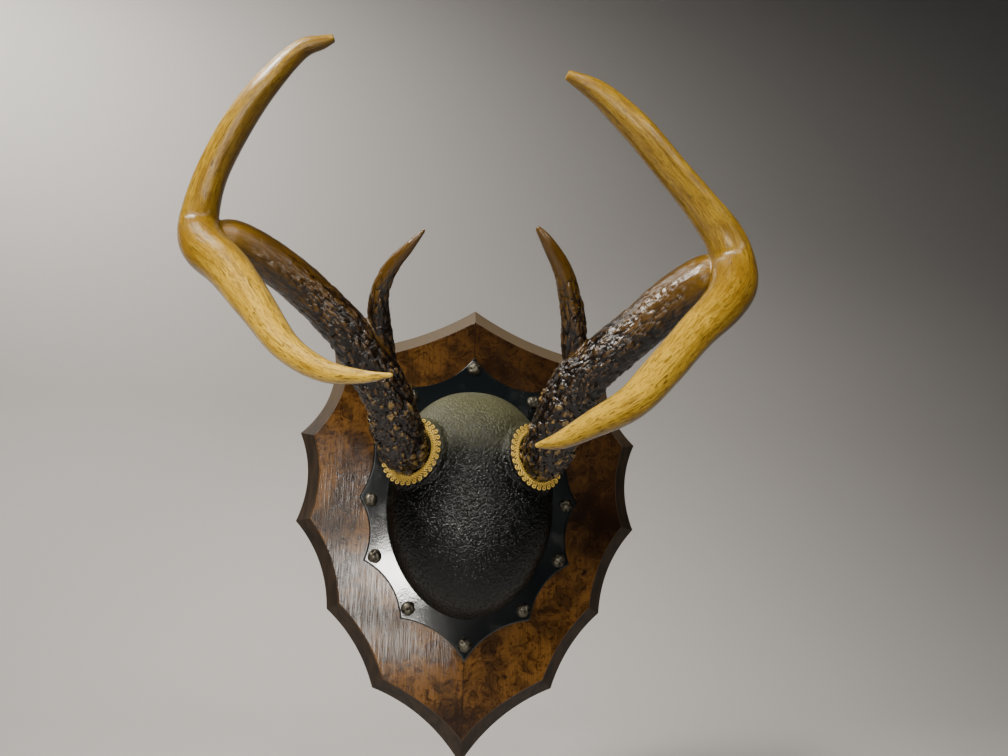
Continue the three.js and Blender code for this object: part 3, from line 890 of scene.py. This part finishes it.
class ANTLER_OT_leather(bpy.types.Operator):
    """Oval form and its two shoulders under one skin of pebbled leather"""

    bl_idname = "antler_mount.leather"
    bl_label = "Leather form"

    def execute(self, context):
        form = context.scene.antler_form
        shells = [form_shell()] + [turned(SHOULDER, *FOOT[side], 96) for side in FOOT]
        leather = put("leather_form", *joined(shells))
        one_skin(leather, form.skin_step, passes=14)
        co, out = places(leather.data)
        near, following, _ = pebbles((co + 1.2 * MM * wobble(co, 6 * MM)) / form.pebble, 11)
        edge = following - near
        # Creases between pebbles, where painted shade goes.
        crease = np.clip(1 - edge / 0.16, 0, 1)
        clear = np.clip((PLATE_FACE - co[:, 1]) / (4 * MM), 0, 1)
        height = form.pebble_height * (np.minimum(edge, 0.4) / 0.4 - 1) * clear
        # How high each point stands, for the dust and painted sheen towards the top.
        crown = np.clip((co[:, 2] - 5 * MM) / (95 * MM), 0, 1)
        raise_skin(leather.data, co, out, height)
        mark(leather.data, "crease", crease)
        mark(leather.data, "crown", crown)
        finished(leather, leather_finish(form), "form_leather", "dome")
        return {"FINISHED"}


def wobble(points, size):
    """Three smooth numbers from -1 to 1 at each point."""
    return np.stack([cloud(points / size, seed) for seed in (61, 62, 63)], axis=1) * 2 - 1


def thread(path, up, radius, sides=6):
    """A tube along a path, closed at both ends. up points away from what the thread lies on."""
    ahead = unit(np.gradient(path, axis=0))
    side = unit(np.cross(ahead, up))
    over = np.cross(side, ahead)
    turn = even_angles(sides)
    points, faces = rings_mesh(path[:, None] + radius * circle(turn, over, side))
    travelled = np.concatenate([[0], np.cumsum(np.linalg.norm(np.diff(path, axis=0), axis=1))])
    along = np.append(np.repeat(travelled, sides), (0, travelled[-1]))
    return points, faces, along, np.append(np.tile(np.cos(turn), len(path)), (0.5, 0.5))


def curl_and_tail(start, curl, wide, turns, tail, slant):
    """One thread of the braid laid flat, in millimetres along it, outward and in height: a spiral about
    (start, curl) whose radius grows to wide, then a line that runs tail on and slant outward."""
    u = np.linspace(0, 1, 5 + round(20 * turns))
    angle = np.sign(slant) * (np.pi / 2 + 2 * np.pi * turns * (1 - u))
    grown = wide * (0.28 + 0.72 * u)
    v = np.linspace(0, 1, 9)[1:]
    along = np.append(start + grown * np.cos(angle), start + tail * v)
    outward = np.append(curl + grown * np.sin(angle), curl + np.sign(slant) * wide + slant * v)
    height = np.append(1.5 + 0.2 * u, 1.7 + 0.7 * np.sin(2.2 * v) - 0.9 * v**3)
    return np.stack([along, outward, height])


def braid_threads():
    """Every thread of the braid as distances out from the ring's axis, turns round it and heights, in metres
    and radians. Outer threads curl at the edge, and all slant forward to the middle, where they meet."""
    half = np.pi * BRAID_MIDDLE / SCROLLS
    shapes = [curl_and_tail(0, 2.45, 1.8, 1.15, 2.3, -2.0), curl_and_tail(half, 1.2, 0.6, 0.25, 2.3, -2.0)]
    shapes += [curl_and_tail(start, -3.3, 0.8, 0.7, 2.3, 1.8) for start in (half / 2, 1.5 * half)]
    made = []
    for number in range(SCROLLS):
        for along, outward, height in shapes:
            turn = 2 * np.pi * number / SCROLLS + along / BRAID_MIDDLE
            made.append(((BRAID_MIDDLE + outward) * MM, turn, height * MM))
    return made


class ANTLER_OT_braid(bpy.types.Operator):
    """Gold gimp braid round each antler's foot"""

    bl_idname = "antler_mount.braid"
    bl_label = "Braid"

    def execute(self, context):
        form = context.scene.antler_form
        material = braid_finish(form)
        for side, (seat, along) in FOOT.items():
            seat, along, right, up = standing(seat, along)
            shells, marks = [], {"along": [], "top": [], "low": []}
            for out, turn, height in braid_threads():
                path = seat + circle(turn, right, up) * out[:, None] + along * height[:, None]
                points, faces, travelled, top = thread(path, along, form.thread / 2)
                shells.append((points, faces))
                marks["along"].append(travelled / (2.2 * form.thread))
                marks["top"].append(top)
                # How low each point lies, and the backing ring all low, for painted shade in the gaps.
                marks["low"].append(np.clip(1 - ((points - seat) @ along) / (1.4 * MM), 0, 1))
            backing = turned(BACKING, *FOOT[side], 96, closed=False)
            shells.append(backing)
            for key, values in marks.items():
                values.append(np.full(len(backing[0]), 1.0 if key == "low" else 0.0))
            braid = put(f"gimp_braid_{side}", *joined(shells),
                        {key: np.concatenate(values) for key, values in marks.items()})
            finished(braid, material, "gimp_braid", f"gimp_{side}")
        return {"FINISHED"}


# ------------------------ antlers


def centre_line(stations, step=1.5 * MM):
    """Evenly spaced points, thicknesses and distances along the smooth curve through the stations:
    ((2b) + (c-a)u + (2a-5b+4c-d)u² + (3b-a-3c+d)u³) / 2 between b and c."""
    p = np.array(stations, float) * MM
    p = np.vstack([2 * p[0] - p[1], p, 2 * p[-1] - p[-2]])
    t = np.linspace(0, len(stations) - 1, 40 * len(stations))
    i = np.minimum(t.astype(int), len(stations) - 2)
    u = (t - i)[:, None]
    a, b, c, d = p[i], p[i + 1], p[i + 2], p[i + 3]
    q = (2 * b + (c - a) * u + (2 * a - 5 * b + 4 * c - d) * u**2 + (3 * b - a - 3 * c + d) * u**3) / 2
    arc = np.concatenate([[0], np.cumsum(np.linalg.norm(np.diff(q[:, :3], axis=0), axis=1))])
    s = np.linspace(0, arc[-1], round(arc[-1] / step) + 1)
    even = np.column_stack([np.interp(s, arc, q[:, k]) for k in range(4)])
    return even[:, :3], np.maximum(even[:, 3] / 2, 0.5 * MM), s


def limb_frame(line):
    """Two directions across the line: the normal of the plane it lies closest to, squared to the line, and
    the one square to both."""
    ahead = unit(np.gradient(line, axis=0))
    flat = np.linalg.svd(line - line.mean(0))[2][2]
    first = unit(flat - (ahead @ flat)[:, None] * ahead)
    return first, np.cross(ahead, first)


def limb_shell(stations, sides=40):
    """A round profile carried along a limb's line. Over the last one and a half radii of its length it is
    narrowed by (1 - share²)^0.5, which rounds the point."""
    line, radius, s = centre_line(stations)
    radius = np.maximum(radius, 1.4 * MM)
    share = np.clip(1 - (s[-1] - s) / (1.5 * radius[-1]), 0, 0.97)
    radius = radius * np.sqrt(1 - share**2)
    first, second = limb_frame(line)
    return rings_mesh(line[:, None] + circle(even_angles(sides), first, second) * radius[:, None, None])


def burr_beads(seat, along, seed):
    """Knobs round the foot: squashed balls of several sizes on a ring."""
    numbers = np.random.default_rng(seed)
    seat, along, side, up = standing(seat, along)
    angle = even_angles(BEADS) + numbers.uniform(-0.3, 0.3, BEADS) * 2 * np.pi / BEADS
    out, height, size = (numbers.uniform(*ends, BEADS) * MM for ends in (BEAD_OUT, BEAD_HEIGHT, BEAD_SIZE))
    v, w = np.meshgrid(np.linspace(0, np.pi, 9)[1:-1], even_angles(12), indexing="ij")
    ball = np.stack([np.sin(v) * np.cos(w), np.sin(v) * np.sin(w), np.cos(v)], -1)
    shells = []
    for outward, r, h, s in zip(circle(angle, side, up), out, height, size):
        centre = seat + outward * r + along * h
        axes = np.stack([outward, np.cross(along, outward) * 1.15, along * 1.05])
        shells.append(rings_mesh((centre + s * ball @ axes)[:, ::-1]))
    return shells


def limb_coordinates(co, stations):
    """For each point: how far it is outside a limb, how far along it, the angle round it, and the limb's
    radius there. The nearest ring is the one with the least distance beyond its radius."""
    line, radius, s = centre_line(stations)
    first, second = limb_frame(line)
    nearest, outside = np.empty(len(co), int), np.empty(len(co))
    for start in range(0, len(co), 20000):
        part = slice(start, start + 20000)
        squared = np.sum(co[part] ** 2, axis=1)[:, None] + np.sum(line**2, axis=1) - 2 * co[part] @ line.T
        far = np.sqrt(np.maximum(squared, 0)) - radius
        nearest[part] = far.argmin(1)
        outside[part] = far.min(1)
    away = co - line[nearest]
    angle = np.arctan2(np.sum(away * second[nearest], axis=1), np.sum(away * first[nearest], axis=1))
    return outside, s[nearest], angle, radius[nearest], s[-1]


def skin_pattern(antler, limb, along, angle, radius, total, seed):
    """What the surface carries at each point of a limb: height, relief, pearls, amber and paleness. Pearls
    are domes (1 - (distance/reach)²)^0.5 about scattered points. Ropes are the distance to the next point
    less that to the nearest, in space squeezed along the limb, so grooves run where the two are equal."""
    share = along / total
    bark, amber, pale = (np.interp(share, *zip(*table[limb])) for table in (BARK, AMBER, PALE))
    pearly = np.interp(share, *zip(*PEARLY[limb]))
    skin = np.column_stack([along, radius * np.cos(angle), radius * np.sin(angle)])
    bent = skin + 0.8 * MM * wobble(skin, 5 * MM)
    near, following, _ = pebbles(bent / antler.rope / (3.4, 1, 1), seed)
    rope = np.minimum((following - near) / 0.42, 1) ** 0.8
    near, _, number = pebbles(bent / antler.pearl / (1.15, 1, 1), seed + 10)
    pearl = np.clip(1 - (near / 0.56) ** 2, 0, 1) ** 0.5 * (0.6 + 0.4 * number)
    near, _, rare = pebbles(bent / (2.3 * antler.pearl), seed + 20)
    knob = np.clip(1 - (near / 0.42) ** 2, 0, 1) ** 0.5 * (rare > 0.38) * pearly
    waves = cloud(skin / (20 * MM, 8 * MM, 8 * MM), seed + 30) - 0.5
    height = bark * (antler.groove_depth * (1 - 0.75 * pearly) * (rope - 0.75)
                     + antler.pearl_height * (0.35 + 1.15 * pearly) * (pearl - 0.35)
                     + antler.knob_height * knob)
    height += (0.35 + 0.5 * bark) * MM * waves
    relief = (1 - 0.75 * pearly) * rope + 0.75 * pearly * pearl * 1.25
    golden = np.maximum(pearl * (0.55 + 0.45 * (number > 0.7)) * (0.35 + 0.65 * pearly), knob)
    return np.column_stack([height, relief, golden * bark, amber, pale])


class ANTLER_OT_antlers(bpy.types.Operator):
    """Two lacquered antlers, each one skin from the burr to the points"""

    bl_idname = "antler_mount.antlers"
    bl_label = "Antlers"

    def execute(self, context):
        antler = context.scene.antler_antler
        material = antler_finish(antler)
        for number, (side, limbs) in enumerate(LIMBS.items()):
            shells = [limb_shell(stations) for stations in limbs.values()]
            shells += [turned(profile, *FOOT[side], 64) for profile in (CORONET, PEDICLE)]
            shells += burr_beads(*FOOT[side], seed=5 + number)
            piece = put(f"antler_{side}", *joined(shells))
            one_skin(piece, antler.skin_step, passes=9)
            co, out = places(piece.data)
            pattern, _ = antler_pattern(antler, limbs, co, 100 * (number + 1))
            raise_skin(piece.data, co, out, pattern[:, 0])
            thin_out(piece, ANTLER_TRIANGLES / (2 * len(piece.data.polygons)))
            co, out = places(piece.data)
            pattern, grain = antler_pattern(antler, limbs, co, 100 * (number + 1))
            for key, values in zip(("relief", "pearl", "amber", "pale"), pattern[:, 1:].T):
                mark(piece.data, key, values)
            # Painted shade: how far each point faces away from the painted light.
            mark(piece.data, "under", np.clip(-out @ unit(np.array(PAINTED_LIGHT_SIDE)), 0, 1))
            piece.data.attributes.new("grain", "FLOAT_VECTOR", "POINT").data.foreach_set(
                "vector", grain.astype(np.float32).ravel())
            finished(piece, material, "antler_bone", *(f"antler_{side}_{part}" for part in ANTLER_NODES))
        return {"FINISHED"}


def antler_pattern(antler, limbs, co, seed):
    """The pattern of each limb, shared out where limbs meet, and coordinates that run along the nearest
    limb: the distance along it and the two across it. The web in the brow fork falls off as e^(-gap/fade),
    where gap is how much nearer one limb is than the other."""
    outside, patterns, grains = [], [], []
    for order, (limb, stations) in enumerate(limbs.items()):
        beyond, along, angle, radius, total = limb_coordinates(co, stations)
        outside.append(beyond)
        patterns.append(skin_pattern(antler, limb, along, angle, radius, total, seed + 3 * order))
        grains.append(np.column_stack([along + order, radius * np.cos(angle), radius * np.sin(angle)]))
    outside = np.array(outside)
    weight = np.exp(-(outside - outside.min(0)) / LIMB_BLEND)
    weight /= weight.sum(0)
    pattern = np.einsum("ln,lnk->nk", weight, np.array(patterns))
    rear, _, brow = outside
    web = np.exp(-np.abs(rear - brow) / WEB_FADE) * np.clip((grains[0][:, 0] - WEB_START) / WEB_RISE, 0, 1)
    pattern[:, 0] *= 1 - WEB_SMOOTH * web
    pattern[:, 3] = np.maximum(pattern[:, 3], WEB_AMBER * web)
    pattern[:, 4] += WEB_PALE * web
    return pattern, np.array(grains)[outside.argmin(0), np.arange(len(co))]


def thin_out(piece, keep):
    """Merges the faces that matter least, down to a share of their number."""
    fewer = piece.modifiers.new("fewer", "DECIMATE")
    fewer.ratio = keep
    return baked(piece)


# ------------------------ camera, light and stage


def softbox(name, place, aim, wide, tall, power, spread):
    """A rectangular light at a place, turned to face a point. Its rays keep within spread degrees."""
    lamp = bpy.data.lights.new(name, "AREA")
    lamp.shape, lamp.size, lamp.size_y, lamp.energy = "RECTANGLE", wide, tall, power
    lamp.spread, lamp.color = math.radians(spread), (1.0, 0.95, 0.88)
    light = bpy.data.objects.new(name, lamp)
    bpy.context.scene.collection.objects.link(light)
    light.location = place
    light.rotation_euler = (Vector(aim) - Vector(place)).to_track_quat("-Z", "Y").to_euler()
    light.visible_camera = False


class ANTLER_OT_stage(bpy.types.Operator):
    """Camera, soft lights and a pale floor that sweeps up into a backdrop"""

    bl_idname = "antler_mount.stage"
    bl_label = "Stage"

    def execute(self, context):
        studio = context.scene.antler_studio
        camera = bpy.data.objects.new("camera", bpy.data.cameras.new("camera"))
        context.scene.collection.objects.link(camera)
        camera.data.lens, camera.data.sensor_width = studio.lens, 36.0
        camera.location, camera.rotation_euler = studio.place, studio.turn
        camera.data.clip_start = 0.01
        context.scene.camera = camera
        points, faces = cove(floor=-0.30, front=-3.0, back=1.25, top=2.6, bend=0.6, half_width=3.2)
        floor = put("studio_floor", points, faces)
        floor.data.materials.append(paper_finish(studio))
        for lamp in LAMPS:
            softbox(*lamp)
        world = bpy.data.worlds.new("even light")
        world.use_nodes = True
        background = world.node_tree.nodes["Background"]
        background.inputs["Color"].default_value = (0.9, 0.92, 1.0, 1.0)
        background.inputs["Strength"].default_value = studio.sky
        context.scene.world = world
        return {"FINISHED"}


def cove(floor, front, back, top, bend, half_width, steps=24):
    """A floor that curves up into a wall: a straight, a quarter circle and a straight, carried along X."""
    turn = np.linspace(0, np.pi / 2, steps)
    y = np.concatenate([[front], back - bend + bend * np.sin(turn), [back]])
    z = np.concatenate([[floor], floor + bend - bend * np.cos(turn), [top]])
    left = np.column_stack([np.full(len(y), -half_width), y, z])
    points = np.vstack([left, left * (-1, 1, 1)])
    i, n = np.arange(len(y) - 1), len(y)
    return points, np.stack([i, i + n, i + n + 1, i + 1], -1).tolist()


class ANTLER_PT_mount(bpy.types.Panel):
    """Lists the pieces of the mount and their settings"""

    bl_idname = "ANTLER_PT_mount"
    bl_label = "Antler Mount"
    bl_space_type = "VIEW_3D"
    bl_region_type = "UI"
    bl_category = "Antler Mount"

    def draw(self, context):
        for operator in PIECES:
            self.layout.operator(operator.bl_idname)
        for group in GROUPS:
            box = self.layout.box()
            settings = getattr(context.scene, group)
            for key in settings.__annotations__:
                box.prop(settings, key)


GROUPS = {
    "antler_plaque": ANTLER_PG_plaque,
    "antler_form": ANTLER_PG_form,
    "antler_antler": ANTLER_PG_antler,
    "antler_studio": ANTLER_PG_studio,
}
PIECES = (
    ANTLER_OT_stage, ANTLER_OT_board, ANTLER_OT_plate, ANTLER_OT_tacks, ANTLER_OT_hanger, ANTLER_OT_leather,
    ANTLER_OT_braid, ANTLER_OT_antlers,
)


def register():
    for made in (*GROUPS.values(), *PIECES, ANTLER_PT_mount):
        bpy.utils.register_class(made)
    for key, group in GROUPS.items():
        setattr(bpy.types.Scene, key, bpy.props.PointerProperty(type=group))


def unregister():
    for key in GROUPS:
        delattr(bpy.types.Scene, key)
    for made in reversed((*GROUPS.values(), *PIECES, ANTLER_PT_mount)):
        bpy.utils.unregister_class(made)


def main():
    register()
    for operator in PIECES:
        group, name = operator.bl_idname.split(".")
        getattr(getattr(bpy.ops, group), name)()


if __name__ == "__main__":
    main()
